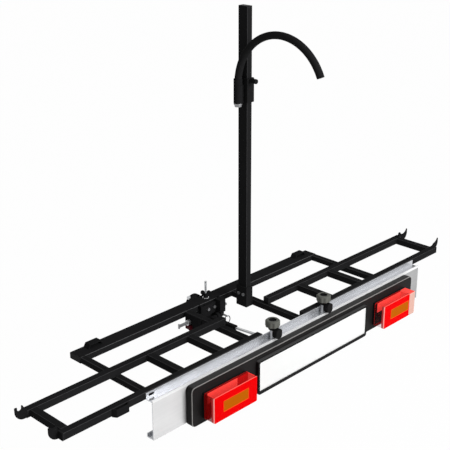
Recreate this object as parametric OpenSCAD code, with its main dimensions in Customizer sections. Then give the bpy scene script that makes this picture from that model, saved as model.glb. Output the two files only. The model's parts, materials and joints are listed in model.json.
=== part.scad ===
// Carrier that hangs on a car's tow ball and holds one motorcycle across the car.
// The origin is the middle of the tow ball, +X runs along the wheel track,
// +Y points to the car and +Z is up. Millimetres.

/* [Base frame] */
// Length of the beam on the car's side
beam_len = 1080; // [900:10:1400]
// Depth of the beam from front to back
beam_depth = 50; // [44:1:70]
// Outer size of the square tubes, also the beam's height
tube = 20; // [18:1:30]
// Wall of the tubes
tube_wall = 2; // [1.5:0.5:4]
// Distance of the inner tubes' middles from the frame's middle
inner_tube_x = 108; // [104:1:150]
// Thickness of the caps that close the tube ends
plug_cap = 2.5; // [1.5:0.5:5]
// Length of the caps' spigots inside the tubes
plug_len = 14; // [8:1:30]

/* [Wheel track] */
// Gap between the beam and the far rail
rail_gap = 137; // [130:1:180]
// Outer size of the track's square tubes
rail_tube = 22; // [20:1:30]
// Clear width between the two rails
track_clear = 132; // [110:1:180]
// Distance of the rails' inner ends from the track's middle
half_in = 101; // [96:1:110]
// Distance of the rails' outer ends from the track's middle
half_out = 845; // [700:5:1000]
// Distance of the inner rungs from the track's middle
rung_inner = 255; // [200:1:300]
// Distance of the outer rungs from the track's middle
rung_outer = 416; // [380:1:480]
// Distance of the end rungs' outer faces from the rails' ends
rung_end = 8; // [0:1:40]
// Shift of the track along the beam
track_shift = 7; // [0:1:8]

/* [End hooks] */
// Thickness of the hook plates
hook_t = 4; // [3:0.5:10]
// Thickness of the foot plates on the rail ends
hook_foot = 4; // [3:0.5:8]
// Radius of the hooks' round outer side
hook_r = 28; // [26:0.5:30]
// Height of the hook tips above the rails' top
horn_rise = 21.5; // [20:0.5:26]
// Depth of the left hooks' notch
notch_depth = 12.5; // [10:0.5:16]
// Width of the left hooks' notch
notch_w = 14; // [10:0.5:15]
// Radius of the right hooks' notch
wide_notch_r = 24; // [22:0.5:25]
// How far the left near hook sits back from the far one
hook_back = 6.5; // [0:0.5:8]

/* [Strap loops] */
// Length of a strap loop at its feet
loop_len = 58; // [50:1:80]
// Height of a strap loop
loop_h = 13; // [12:0.5:20]
// Thickness of the strap loop's bar
loop_bar = 4; // [3:0.5:6]
// Width of the strap loop's bar
loop_w = 24; // [16:1:30]
// Distance of the beam's strap loops from the frame's middle
loop_x = 474; // [420:1:500]
// Shift of the beam's strap loops from the frame's middle
loop_shift = 9; // [0:1:20]
// Place of the near rail's strap loop along the track
near_loop_x = -653; // [-760:1:-620]

/* [Light carrier] */
// Length of the aluminium carrier
carrier_len = 1261; // [1100:1:1400]
// Shift of the carrier's middle from the frame's middle
carrier_shift = 67; // [40:1:90]
// Depth of the carrier's flanges
carrier_depth = 28; // [26:1:40]
// Height of the carrier's upstand on the near rail
upstand_h = 20; // [16:1:30]
// Height of the carrier's web
web_h = 118; // [100:1:150]
// Sheet thickness of the carrier
carrier_t = 3; // [2:0.5:4]
// Height of the carrier's near lip
near_lip = 5; // [3:0.5:10]
// Height of the lip on the carrier's bottom flange
bottom_lip = 12; // [6:1:20]
// Length of the slot in the carrier's upstand
slot_len = 20; // [14:1:30]
// Height of the slot
slot_h = 8; // [6:0.5:10]
// Distance of the slot from the carrier's left end
slot_in = 19; // [16:1:40]

/* [Light board] */
// Length of the light board
board_len = 1062; // [1000:2:1200]
// Height of the light board
board_h = 126; // [110:1:150]
// Thickness of the light board
board_t = 25; // [20:1:35]
// Shift of the lamps' and the plate's middle from the frame's middle
board_shift = 87; // [60:1:110]
// Shift of the board's middle from the plate's middle
board_over = 3; // [-10:1:10]
// Height of the board's top edge above the carrier's floor
board_rise = 0; // [-5:1:2]
// Corner radius of the board
board_r = 14; // [6:1:20]
// Bevel round the board's front
board_bevel = 2; // [1:0.5:8]

/* [Lamps] */
// Width of a lamp
lamp_w = 177; // [150:1:200]
// Height of a lamp
lamp_h = 83; // [70:1:100]
// Depth of a lamp's base
lamp_base = 8; // [6:1:20]
// Depth of a lamp's lens
lens_d = 40; // [20:1:44]
// Wall of the lenses
lens_wall = 2; // [1.5:0.5:3]
// Distance of the lamps' middles inside half the board's length
lamp_in = 131; // [110:1:150]
// Height of the lamps' middle above the board's middle
lamp_up = -5.5; // [-15:0.5:15]
// Width of the amber section
amber_w = 104; // [80:1:104]
// Height of the amber section
amber_h = 36; // [24:1:60]
// Width of the clear section
clear_w = 32; // [20:1:32]

/* [Number plate] */
// Length of the number plate
plate_len = 520; // [480:1:540]
// Height of the number plate
plate_h = 110; // [100:1:120]
// Thickness of the number plate
plate_t = 2; // [1:0.5:3]
// Thickness of the plate holder behind the plate
holder_t = 7; // [4:0.5:12]
// Rim of the holder beside the plate's ends
holder_rim = 6; // [3:0.5:10]
// Wall of the holder above and below the plate
holder_wall = 1.5; // [1:0.5:6]
// Height of the bezel in front of the plate's upper edge
bezel_top = 5; // [2:0.5:10]
// Height of the bezel in front of the plate's lower edge
bezel_low = 10; // [2:0.5:20]
// Thickness of the bezel
bezel_t = 2; // [1:0.5:4]
// Distance of the plate's middle below the board's middle
plate_down = 9; // [0:1:16]

/* [Star knobs] */
// Distance of the star knobs from their middle
knob_x = 122; // [90:1:160]
// Shift of the knobs' middle from the frame's middle
knob_shift = 61; // [40:1:80]
// Outer radius of a star knob
knob_r = 23; // [18:0.5:28]
// Height of a star knob
knob_h = 23; // [16:0.5:26]
// Number of lobes on a star knob
knob_lobes = 9; // [6:1:11]
// Diameter of the studs
stud_d = 8; // [6:0.5:12]
// Height of the spacer bushes
spacer_h = 30; // [20:1:40]
// Outer diameter of the spacer bushes
spacer_d = 18; // [16:0.5:22]
// Width of the hooks that hold the board
board_hook_w = 26; // [22:1:34]
// Thickness of the board hooks
board_hook_t = 7; // [4:0.5:10]

/* [Coupling] */
// Diameter of the tow ball
ball_d = 50; // [48:0.5:60]
// Gap between the ball and its cup
ball_gap = 0.2; // [0.1:0.05:0.5]
// Thickness of the cup's roof under the beam
cup_roof = 5.8; // [4:0.1:10]
// Wall round the ball cup
cup_wall = 7; // [5:0.5:12]
// How far the cup reaches below the ball's middle
cup_skirt = 22; // [16:1:24]
// Thickness of the side cheeks
cheek_t = 6; // [4:0.5:10]
// Distance of the cross shaft in front of the beam
shaft_out = 28; // [26:0.5:30]
// Height of the cross shaft above the ball's middle
shaft_up = 2; // [0:0.5:3]
// Diameter of the cross shaft
shaft_d = 14; // [10:0.5:15]
// Width of the clamp jaw
jaw_w = 11; // [8:0.5:12]
// Place of the lever's middle along the shaft
lever_x = -72; // [-76:1:-68]
// Width of the lever's arm
lever_w = 14; // [10:1:16]
// Length of the lever's arm from the shaft
lever_arm = 155; // [130:1:160]
// Rise of the lever's arm above the shaft
lever_rise = 37; // [34:1:40]
// Length of the lever's bar beyond the arm
lever_bar_len = 117; // [80:1:120]
// Diameter of the lever's bar
lever_bar_d = 9; // [7:0.5:10]
// Slope of the lever's bar
lever_slope = 5.5; // [3:0.1:6]
// Diameter of the upright clamp rod
rod_d = 8; // [6:0.5:10]
// Length of the rod above the beam
rod_rise = 62; // [50:1:90]
// Span of the wing nut
wing_span = 34; // [30:1:48]
// Distance of the T-handle screw in front of the beam
screw_front = 26; // [24:0.5:28]
// Diameter of the T-handle screw
screw_d = 10; // [8:0.5:10]
// Distance of the T-handle from the inner tube
screw_out = 52; // [36:1:70]
// Length of the T-handle's bar
handle_len = 17; // [12:1:40]
// Diameter of the T-handle's bar
handle_d = 6; // [5:0.5:8]
// Diameter of the pull pin
pin_d = 6; // [5:0.5:6]
// Length of the pull pin in front of the cup
pin_len = 52; // [50:1:60]
// Outer radius of the pull ring
ring_r = 16; // [12:0.5:20]
// Wire diameter of the pull ring
ring_wire = 2.8; // [2:0.2:3]

/* [Mast] */
// Width of the mast along the track
mast_w = 21; // [18:1:24]
// Depth of the mast from front to back
mast_depth = 37; // [30:1:40]
// Height of the mast
mast_h = 972; // [800:2:1200]
// Wall of the mast's tube
mast_wall = 2; // [1.5:0.5:3]
// Wall of the mast's socket
socket_wall = 4; // [3:0.5:5]
// Height of the socket
socket_h = 70; // [60:1:100]
// Gap between the beam and the mast's socket
socket_gap = 50; // [40:1:60]

/* [Arm] */
// Height of the collar's lower edge above the frame
collar_z = 688; // [300:2:760]
// Height of the collar
collar_h = 75; // [60:1:90]
// Wall of the collar
collar_wall = 4.5; // [4:0.5:8]
// Outer diameter of the swivel bushing
bushing_d = 27; // [26:0.5:34]
// Diameter of the arm's spigot in the bushing
spigot_d = 16; // [14:0.5:18]
// Diameter of the arm's tube
arm_d = 22.5; // [20:0.5:25]
// Wall of the arm's tube
arm_wall = 2; // [1.5:0.5:3]
// Depth of the end cap's plug in the bent tube
arm_plug = 5; // [3:1:8]
// Radius of the arm's bend
arm_r = 166; // [120:1:220]
// Angle of the arm's bend
arm_turn = 155; // [120:1:170]
// Diameter of the collar's clamp screw
clamp_screw_d = 8; // [6:0.5:10]
// Diameter of the clamp screw's knob
clamp_knob_d = 15; // [14:0.5:26]

/* [Fits] */
// Radial clearance of running fits
run_gap = 0.06; // [0.02:0.01:0.1]
// Clearance where one piece slides over another
slide_gap = 0.3; // [0.2:0.05:0.6]
// Clearance round fixed pins and plugs
fix_gap = 0.1; // [0.05:0.05:0.3]

/* [Hidden] */
$fn = 64;

// levels and lines shared by the frame and the track
cup_r = ball_d / 2 + ball_gap;
beam_z = cup_r + cup_roof;
beam_top = beam_z + tube;
beam_near = -beam_depth / 2;
rail_z = beam_top;
rail_top = rail_z + rail_tube;
far_y1 = beam_near - rail_gap;
far_y0 = far_y1 - rail_tube;
near_y1 = far_y0 - track_clear;
near_y0 = near_y1 - rail_tube;
side_tube_x = beam_len / 2 - tube / 2;
hook_mid = [6, 8];
hook_len = hook_mid[0] + hook_r;

// light carrier and board
carrier_near = near_y0 - carrier_depth;
floor_top = rail_z + carrier_t;
web_bottom = rail_z - web_h;
slot_x = carrier_shift - carrier_len / 2 + slot_in;
slot_z = rail_z + (upstand_h + carrier_t) / 2;
board_back = carrier_near;
board_front = board_back - board_t;
board_top = rail_z + board_rise;
board_mid_z = board_top - board_h / 2;
lamp_z = board_mid_z + lamp_up;
lamp_x = board_len / 2 - lamp_in;
lamp_front = board_front - lamp_base - lens_d;
plate_z = board_mid_z - plate_down;
plate_r = 10;
trough_y = near_y0 - carrier_t - spacer_d / 2 - slide_gap;
knob_seat = floor_top + spacer_h + board_hook_t;

// coupling
shaft_y = beam_near - shaft_out;
screw_y = beam_near - screw_front;
screw_z = beam_z - screw_d / 2 - 1;
cheek_in = cup_r + 2.8;
cup_x0 = -cheek_in - cheek_t;
cheek_near = shaft_y - shaft_d / 2 - 4;
cup_near = -cup_r - cup_wall;
cup_back = cup_r + cup_wall;
front_t = 6;
block_near = cup_near - front_t - 20;
bolt_af = 10;
bolt_head = 5;
bolt_d = 6;
bolt_xs = [-27, 1];
bolt_deep = beam_near - cup_near - 0.2;
bolt_z = 31;
front_x0 = -52;
front_x1 = 10;
front_z0 = 10;
block_x1 = cheek_in + cheek_t;
block_top = beam_top + 4;
pin_x = 18;
pin_z = 5;
ring_slack = 0.5;
ring_y = cup_near - pin_len + 4;
washer_t = 3;
bracket_x = -inner_tube_x - tube / 2;
screw_bracket_t = 6;
back_x = -25;
back_r = 34;
back_rise = 11;
back_t = 12;
back_bolt_d = 12;
back_bolt_len = 8;
back_bolt_x = back_x - sqrt(back_r * back_r - pow(back_r - back_rise, 2)) - 2;
back_bolt_y = beam_depth / 2 + back_t / 2;
back_bolt_z = beam_top + back_bolt_d / 2;
bush_len = 12;
lug_x0 = jaw_w / 2 + 1;
lug_x1 = lug_x0 + 6;
shaft_left = lever_x - lever_w / 2 - 4;
lever_y = shaft_y - lever_arm;
lever_z = shaft_up + lever_rise;

// mast and arm
socket_w = mast_w + 2 * (socket_wall + fix_gap);
socket_depth = mast_depth + 2 * (socket_wall + fix_gap);
socket_x1 = inner_tube_x - tube / 2;
mast_x = socket_x1 - socket_w / 2;
mast_y = beam_near - socket_gap - socket_depth / 2;
mast_foot = beam_z + socket_wall;
collar_low = beam_z + collar_z;
collar_w = mast_w + 2 * (slide_gap + collar_wall);
bushing_x = mast_x - collar_w / 2 - bushing_d / 2 - 2.5;
collar_depth = mast_depth + 2 * (slide_gap + collar_wall);
spigot_flange = 3;
arm_cup = 16;
bushing_top = collar_low + collar_h - arm_cup - spigot_flange;
arm_start = bushing_top + slide_gap + spigot_flange;
clamp_boss = 8;
clamp_z = collar_low + collar_h - 7;

// tube along X from its low corner
module tube_along_x(len, depth, h) {
    difference() {
        cube([len, depth, h]);
        translate([-1, tube_wall, tube_wall]) cube([len + 2, depth - 2 * tube_wall, h - 2 * tube_wall]);
    }
}

// square tube along Y from its low corner
module tube_along_y(len, side) {
    bore = side - 2 * tube_wall;
    difference() {
        cube([side, len, side]);
        translate([tube_wall, -1, tube_wall]) cube([bore, len + 2, bore]);
    }
}

// flat shape stood upright in the X-Z plane, its thickness centred
module upright(t) {
    rotate([90, 0, 0]) linear_extrude(t, center = true) children();
}

// section in the Y-Z plane drawn out along X
module drawn_along_x(len) {
    rotate([90, 0, 90]) linear_extrude(len, center = true) children();
}

// rectangle with round corners, centred
module rounded(w, h, r) {
    square([w - 2 * r, h], center = true);
    square([w, h - 2 * r], center = true);
    for (x = [-1, 1], y = [-1, 1]) translate([x * (w / 2 - r), y * (h / 2 - r)]) circle(r);
}

// hexagon with the given width across its flats
module hexagon(af) {
    circle(af / 2 / cos(30), $fn = 6);
}

// cylinder along X, from one end to the other
module rod_x(x0, x1, d) {
    translate([x0, 0, 0]) rotate([0, 90, 0]) cylinder(d = d, h = x1 - x0);
}

// cylinder along Y, from the far end towards the near side
module rod_y(y_far, y_near, d) {
    translate([0, y_far, 0]) rotate([90, 0, 0]) cylinder(d = d, h = y_far - y_near);
}

module car_side_beam() {
    color("#26272a") difference() {
        translate([-beam_len / 2, beam_near, beam_z]) tube_along_x(beam_len, beam_depth, tube);
        translate([0, 0, beam_z - 1]) cylinder(d = rod_d + 2 * fix_gap, h = tube + 2);
    }
}

module frame_tube(x) {
    color("#26272a") translate([x - tube / 2, near_y0, beam_z]) tube_along_y(beam_near - near_y0, tube);
}

module left_side_tube() { frame_tube(-side_tube_x); }
module right_side_tube() { frame_tube(side_tube_x); }
module left_inner_tube() { frame_tube(-inner_tube_x); }
module right_inner_tube() { frame_tube(inner_tube_x); }

module rail(side, y) {
    x0 = side < 0 ? track_shift - half_out : track_shift + half_in;
    color("#2b2c2f") translate([x0, y, rail_z]) tube_along_x(half_out - half_in, rail_tube, rail_tube);
}

module left_far_rail() { rail(-1, far_y0); }
module left_near_rail() { rail(-1, near_y0); }
module right_far_rail() { rail(1, far_y0); }
module right_near_rail() { rail(1, near_y0); }

module rungs(side) {
    color("#2b2c2f") for (x = [rung_inner, rung_outer, half_out - rung_end - rail_tube / 2])
        translate([track_shift + side * x - rail_tube / 2, near_y1, rail_z])
            tube_along_y(track_clear, rail_tube);
}

module left_rungs() { rungs(-1); }
module right_rungs() { rungs(1); }

// hook outlines lie outwards from the rail's foot plate, with zero height at the rail's top;
// the blank is round below and straight above
module hook_blank() {
    intersection() {
        translate([0, -rail_tube]) square([hook_len, rail_tube + horn_rise]);
        union() {
            translate(hook_mid) circle(hook_r);
            translate([0, hook_mid[1]]) square([hook_len, horn_rise]);
        }
    }
}

// hook with an upright notch, shallow on the one that is set back and lowered a little
module round_hook(back) {
    notch_x = 19.5;
    notch_r = notch_w / 2;
    depth = back > 0 ? notch_depth - 8 : notch_depth;
    intersection() {
        translate([0, -rail_tube]) square([hook_len, rail_tube + horn_rise]);
        translate([-back, -back / 3]) difference() {
            hook_blank();
            translate([notch_x, horn_rise - depth + notch_r]) circle(notch_r);
            translate([notch_x - notch_r, horn_rise - depth + notch_r]) square([notch_w, depth]);
            polygon([[-1, 1], [0, 1], [5, 13], [9.5, horn_rise + 1], [-1, horn_rise + 1]]);
        }
    }
}

// the far one has a second horn on the rail's top, the near one slopes down to it
module wide_hook(far) {
    horn = horn_rise - 3;
    difference() {
        union() {
            hook_blank();
            if (far) polygon([[-24, 0], [-17.5, horn - 1], [-14, horn], [1, horn], [1, 0]]);
        }
        translate([10, horn_rise - notch_depth - 2 + wide_notch_r]) circle(wide_notch_r);
        if (!far) polygon([[-1, 0], [1, 0], [10, 6.6], [10, horn_rise + 1], [-1, horn_rise + 1]]);
    }
}

// the plates lie flush with the rails' inner faces
module end_hooks(side) {
    for (far = [true, false])
        translate([track_shift + side * half_out, 0, rail_top]) mirror([side < 0 ? 1 : 0, 0, 0]) {
            translate([0, far ? far_y0 : near_y0, -rail_tube]) cube([hook_foot, rail_tube, rail_tube]);
            translate([hook_foot, far ? far_y0 + hook_t / 2 : near_y1 - hook_t / 2, 0]) upright(hook_t)
                if (side < 0) round_hook(far ? 0 : hook_back); else wide_hook(far);
        }
}

module left_end_hooks() { color("#232427") end_hooks(-1); }
module right_end_hooks() { color("#232427") end_hooks(1); }

// bent flat bar, feet at zero height
module strap_loop() {
    lean = loop_h * 0.6;
    linear_extrude(loop_w, center = true) difference() {
        polygon([
            [-loop_len / 2, 0], [lean - loop_len / 2, loop_h],
            [loop_len / 2 - lean, loop_h], [loop_len / 2, 0]
        ]);
        polygon([
            [1.3 * loop_bar - loop_len / 2, -1], [lean + loop_bar * 0.7 - loop_len / 2, loop_h - loop_bar],
            [loop_len / 2 - lean - loop_bar * 0.7, loop_h - loop_bar], [loop_len / 2 - 1.3 * loop_bar, -1]
        ]);
    }
}

module strap_loops() {
    color("#232427") {
        for (x = [-loop_x, loop_x])
            translate([loop_shift + x, beam_depth / 2 - loop_w / 2 - 3, beam_top])
                rotate([90, 0, 0]) strap_loop();
        translate([near_loop_x, near_y0, rail_top - loop_w / 2]) rotate([180, 0, 0]) strap_loop();
    }
}

// cap of a tube end, its spigot along +X
module plug(depth, h) {
    inset = tube_wall + fix_gap;
    translate([-plug_cap, -depth / 2, -h / 2]) cube([plug_cap, depth, h]);
    translate([0, inset - depth / 2, inset - h / 2]) cube([plug_len, depth - 2 * inset, h - 2 * inset]);
}

module tube_plugs() {
    color("#17181a") for (side = [-1, 1]) {
        translate([side * beam_len / 2, 0, beam_z + tube / 2])
            rotate([0, 0, side < 0 ? 0 : 180]) plug(beam_depth, tube);
        for (y = [far_y0, near_y0])
            translate([track_shift + side * half_in, y + rail_tube / 2, rail_z + rail_tube / 2])
                rotate([0, 0, side < 0 ? 180 : 0]) plug(rail_tube, rail_tube);
        for (x = [side_tube_x, inner_tube_x])
            translate([side * x, near_y0, beam_z + tube / 2]) rotate([0, 0, 90]) plug(tube, tube);
    }
}

module light_carrier() {
    color("#c9ccd2") difference() {
        translate([carrier_shift, 0, 0]) drawn_along_x(carrier_len) {
            translate([near_y0 - carrier_t, rail_z]) square([carrier_t, upstand_h]);
            translate([carrier_near, rail_z]) square([carrier_depth, carrier_t]);
            translate([carrier_near, web_bottom]) square([carrier_t, web_h + carrier_t + near_lip]);
            translate([carrier_near, web_bottom]) square([carrier_depth, carrier_t]);
            translate([near_y0 - carrier_t, web_bottom]) square([carrier_t, bottom_lip]);
        }
        translate([slot_x, near_y0, slot_z]) upright(4 * carrier_t)
            rounded(slot_len, slot_h, slot_h / 2 - 0.01);
    }
}

module carrier_screw() {
    color("#141517") translate([slot_x, 0, slot_z])
        rod_y(near_y0, near_y0 - carrier_t + 0.5, slot_h - 2 * fix_gap);
}

module light_board() {
    color("#2e2f33") translate([board_shift + board_over, board_back, board_mid_z]) {
        translate([0, (board_bevel - board_t) / 2, 0]) upright(board_t - board_bevel)
            rounded(board_len, board_h, board_r);
        translate([0, board_bevel / 2 - board_t, 0]) upright(board_bevel)
            rounded(board_len - 2 * board_bevel, board_h - 2 * board_bevel, board_r);
    }
}

module holder_outline() {
    rounded(plate_len + 2 * holder_rim, plate_h + 2 * holder_wall, 8);
}

// back, rim and front bezel, with the plate between them
module plate_holder() {
    color("#1b1c1f") translate([board_shift, board_front, plate_z]) {
        translate([0, -holder_t / 2, 0]) upright(holder_t) holder_outline();
        translate([0, -holder_t - plate_t / 2, 0]) upright(plate_t) difference() {
            holder_outline();
            rounded(plate_len + 2 * fix_gap, plate_h + 2 * fix_gap, plate_r);
        }
        translate([0, -holder_t - plate_t - bezel_t / 2, 0]) upright(bezel_t) difference() {
            holder_outline();
            translate([0, (bezel_low - bezel_top) / 2])
                rounded(plate_len - 2, plate_h - bezel_low - bezel_top, 5);
        }
    }
}

module number_plate() {
    color("#f2f2f0") translate([board_shift, board_front - holder_t - plate_t / 2, plate_z])
        upright(plate_t) rounded(plate_len, plate_h, plate_r);
}

// lamp parts are placed from the lamp's middle on the board's front
module at_lamp(side) {
    translate([board_shift + side * lamp_x, board_front, lamp_z]) children();
}

module lamp_base_body() {
    color("#1b1c1f") translate([0, -lamp_base / 2, 0]) upright(lamp_base) rounded(lamp_w, lamp_h, 5);
}

// hollow lens from one end of the lamp to the other, open at its back
module lens_shell(x0, x1) {
    w = x1 - x0;
    translate([(x0 + x1) / 2, -lamp_base, 0]) difference() {
        translate([0, -lens_d / 2, 0]) upright(lens_d) rounded(w, lamp_h, 5);
        translate([0, (lens_wall - lens_d) / 2 + 1, 0]) upright(lens_d - lens_wall + 2)
            rounded(w - 2 * lens_wall, lamp_h - 2 * lens_wall, 3);
    }
}

module amber_block() {
    depth = lens_d - lens_wall - slide_gap;
    color("#f08a24") translate([0, -lamp_base - depth / 2, 1]) cube([amber_w, depth, amber_h], center = true);
}

module left_lamp_base() { at_lamp(-1) lamp_base_body(); }
module right_lamp_base() { at_lamp(1) lamp_base_body(); }
module left_lamp_lens() { color("#c3122a") at_lamp(-1) lens_shell(-lamp_w / 2, lamp_w / 2); }
module right_lamp_lens() { color("#c3122a") at_lamp(1) lens_shell(-lamp_w / 2, lamp_w / 2 - clear_w); }
module right_lamp_clear() { color("#f3e9e9") at_lamp(1) lens_shell(lamp_w / 2 - clear_w, lamp_w / 2); }
module lamp_ambers() {
    at_lamp(-1) amber_block();
    at_lamp(1) amber_block();
}

// stud, spacer, hook and knob stand on the carrier's floor
module at_knobs() {
    for (side = [-1, 1]) translate([knob_shift + side * knob_x, trough_y, floor_top]) children();
}

module knob_studs() {
    color("#8d9094") at_knobs() cylinder(d = stud_d, h = spacer_h + board_hook_t + knob_h - 4);
}

module knob_spacers() {
    color("#b9bcc0") at_knobs() difference() {
        cylinder(d = spacer_d, h = spacer_h);
        translate([0, 0, -1]) cylinder(d = stud_d + 2 * fix_gap, h = spacer_h + 2);
    }
}

// each hook bears on the carrier's near lip and reaches over the board's top
module board_hooks() {
    lip_top = near_lip;
    front = carrier_near - trough_y - 12;
    drop_t = 17;
    color("#17181a") at_knobs() difference() {
        union() {
            translate([0, 0, spacer_h]) cylinder(d = board_hook_w, h = board_hook_t);
            translate([-board_hook_w / 2, front + drop_t - 1, spacer_h])
                cube([board_hook_w, 1 - front - drop_t, board_hook_t]);
            translate([0, front + drop_t / 2, (lip_top + spacer_h + board_hook_t) / 2]) upright(drop_t)
                rounded(board_hook_w, spacer_h + board_hook_t - lip_top, 11);
        }
        translate([0, 0, spacer_h - 1]) cylinder(d = stud_d + 2 * fix_gap, h = board_hook_t + 2);
        translate([0, 0, -1]) cylinder(d = spacer_d + 2 * slide_gap, h = spacer_h + 1);
    }
}

// the lobes' top is chamfered to a round shoulder
module star_knob(side) {
    lobe = knob_r * 0.26;
    neck = 3;
    shoulder = 5;
    color("#8a8b80") translate([knob_shift + side * knob_x, trough_y, knob_seat + slide_gap]) difference() {
        union() {
            cylinder(r = knob_r * 0.62, h = neck + 1);
            intersection() {
                translate([0, 0, neck]) linear_extrude(knob_h - neck) {
                    circle(knob_r * 0.92);
                    for (i = [0 : knob_lobes - 1])
                        rotate(i * 360 / knob_lobes) translate([knob_r - lobe, 0]) circle(lobe);
                }
                union() {
                    cylinder(r = knob_r + 1, h = knob_h - shoulder);
                    translate([0, 0, knob_h - shoulder])
                        cylinder(r1 = knob_r + 1, r2 = knob_r + 1 - shoulder, h = shoulder);
                }
            }
        }
        translate([0, 0, knob_h - 4]) cylinder(r = knob_r * 0.52, h = 5);
        translate([0, 0, -1]) cylinder(d = stud_d + 2 * run_gap, h = knob_h + 2);
    }
}

module left_star_knob() { star_knob(-1); }
module right_star_knob() { star_knob(1); }

// cup under the beam that sits on the ball, with a slot for the jaw in its near wall
module ball_cup() {
    slot_w = jaw_w + 3;
    color("#202124") difference() {
        union() {
            translate([cup_x0, cup_near, -cup_skirt])
                cube([cheek_in - cup_x0, cup_back - cup_near, beam_z + cup_skirt]);
            translate([cup_x0, cup_near, beam_z - 1])
                cube([cheek_in - cup_x0, beam_near - cup_near, tube - 3]);
        }
        sphere(cup_r);
        translate([0, 0, -cup_skirt - 1]) cylinder(r = cup_r, h = cup_skirt + 3);
        translate([-slot_w / 2, cup_near - 1, -cup_skirt - 1]) cube([slot_w, -cup_near, cup_skirt + 3]);
        translate([0, 0, beam_z - cup_roof + 1.5]) cylinder(d = rod_d + 2 * fix_gap, h = cup_roof);
        for (x = bolt_xs) translate([x, 0, bolt_z])
            rod_y(cup_near + bolt_deep, cup_near - 1, bolt_d + 2 * fix_gap);
        translate([pin_x, 0, pin_z]) rod_y(cup_near + 5, cup_near - 1, pin_d + 2 * run_gap);
    }
}

// left plate and right lug that carry the cross shaft, and the right block with the pull pin's guide
module coupling_cheeks() {
    lug_z0 = shaft_up - shaft_d / 2 - 4;
    color("#232427") difference() {
        union() {
            translate([cheek_in, cup_near, -cup_skirt])
                cube([cheek_t, cup_back - cup_near, beam_z + cup_skirt]);
            translate([front_x0 - cheek_t / 2, 0, 0]) drawn_along_x(cheek_t) polygon([
                [beam_near, beam_top], [cup_near - front_t, beam_top], [cup_near - front_t, front_z0 + 12],
                [cheek_near, front_z0 + 4], [cheek_near, lug_z0], [beam_near, lug_z0]
            ]);
            translate([front_x1, block_near, front_z0])
                cube([block_x1 - front_x1, cup_near - block_near, block_top - front_z0]);
            translate([cheek_in, cup_near - 1, front_z0])
                cube([cheek_t, beam_near - cup_near + 1, block_top - front_z0]);
            translate([lug_x1 + 0.5, block_near - 4, pin_z - pin_d / 2 - 3])
                cube([2 * (pin_x - lug_x1 - 0.5), 5, front_z0 + 9 - pin_z + pin_d / 2]);
            translate([lug_x0, cheek_near, lug_z0])
                cube([lug_x1 - lug_x0, cup_near - front_t - cheek_near, front_z0 + 6 - lug_z0]);
        }
        translate([0, shaft_y, shaft_up]) {
            rod_x(front_x0 - cheek_t - 1, front_x0 + 1, shaft_d + 2 * run_gap);
            rod_x(lug_x0 - 1, lug_x1 + 1, shaft_d + 2 * run_gap);
        }
        translate([pin_x, 0, pin_z]) rod_y(block_near + 2, block_near - 5, pin_d + 2 * run_gap);
        translate([0, block_near + 8, bolt_z]) rod_x(block_x1 - 12, block_x1 + 1, bolt_d + 2 * fix_gap);
    }
}

module front_plate() {
    color("#2a2b2e") difference() {
        translate([front_x0, cup_near - front_t, front_z0])
            cube([front_x1 - front_x0, front_t, beam_top - 4 - front_z0]);
        for (x = bolt_xs) translate([x, 0, bolt_z])
            rod_y(cup_near + 1, cup_near - front_t - 1, bolt_d + 2 * fix_gap);
    }
}

module coupling_bolts() {
    color("#b4b7bb") {
        for (x = bolt_xs) translate([x, cup_near - front_t, bolt_z]) {
            rod_y(front_t + bolt_deep - fix_gap, 0, bolt_d);
            rotate([90, 0, 0]) linear_extrude(bolt_head) hexagon(bolt_af);
        }
        translate([0, block_near + 8, bolt_z]) {
            rod_x(block_x1 - 11, block_x1, bolt_d);
            translate([block_x1, 0, 0]) rotate([0, 90, 0]) linear_extrude(2 * bolt_head) hexagon(bolt_af);
        }
    }
}

// plate on the car's side of the beam, with a round top and a notch for its bolt
module back_plate() {
    color("#1d1e20") difference() {
        translate([back_x, beam_depth / 2 + back_t / 2, 0]) upright(back_t) difference() {
            translate([0, beam_top + back_rise - back_r]) circle(back_r);
            translate([-2 * back_r, beam_z - 4 * back_r]) square([4 * back_r, 4 * back_r]);
        }
        translate([0, back_bolt_y, back_bolt_z])
            rod_x(back_bolt_x - 1, back_bolt_x + back_bolt_len + fix_gap, back_bolt_d + 2 * fix_gap);
    }
}

module back_plate_bolt() {
    color("#b4b7bb") translate([0, back_bolt_y, back_bolt_z])
        rod_x(back_bolt_x, back_bolt_x + back_bolt_len, back_bolt_d);
}

module cross_shaft() {
    color("#b4b7bb") translate([0, shaft_y, shaft_up]) rod_x(shaft_left, lug_x1, shaft_d);
}

// jaw on the cross shaft that presses on the ball through the cup's slot
module clamp_jaw() {
    hub_r = shaft_d / 2 + 5;
    face = -cup_r - 0.4;
    foot = 2 - cup_skirt;
    color("#1d1e20") drawn_along_x(jaw_w) difference() {
        union() {
            translate([shaft_y, shaft_up]) circle(hub_r);
            polygon([
                [shaft_y - 4, shaft_up - hub_r + 1], [shaft_y + 6, foot], [face, foot],
                [face, -2], [shaft_y + 10, shaft_up + 3]
            ]);
        }
        translate([shaft_y, shaft_up]) circle(d = shaft_d + 2 * fix_gap);
    }
}

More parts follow.
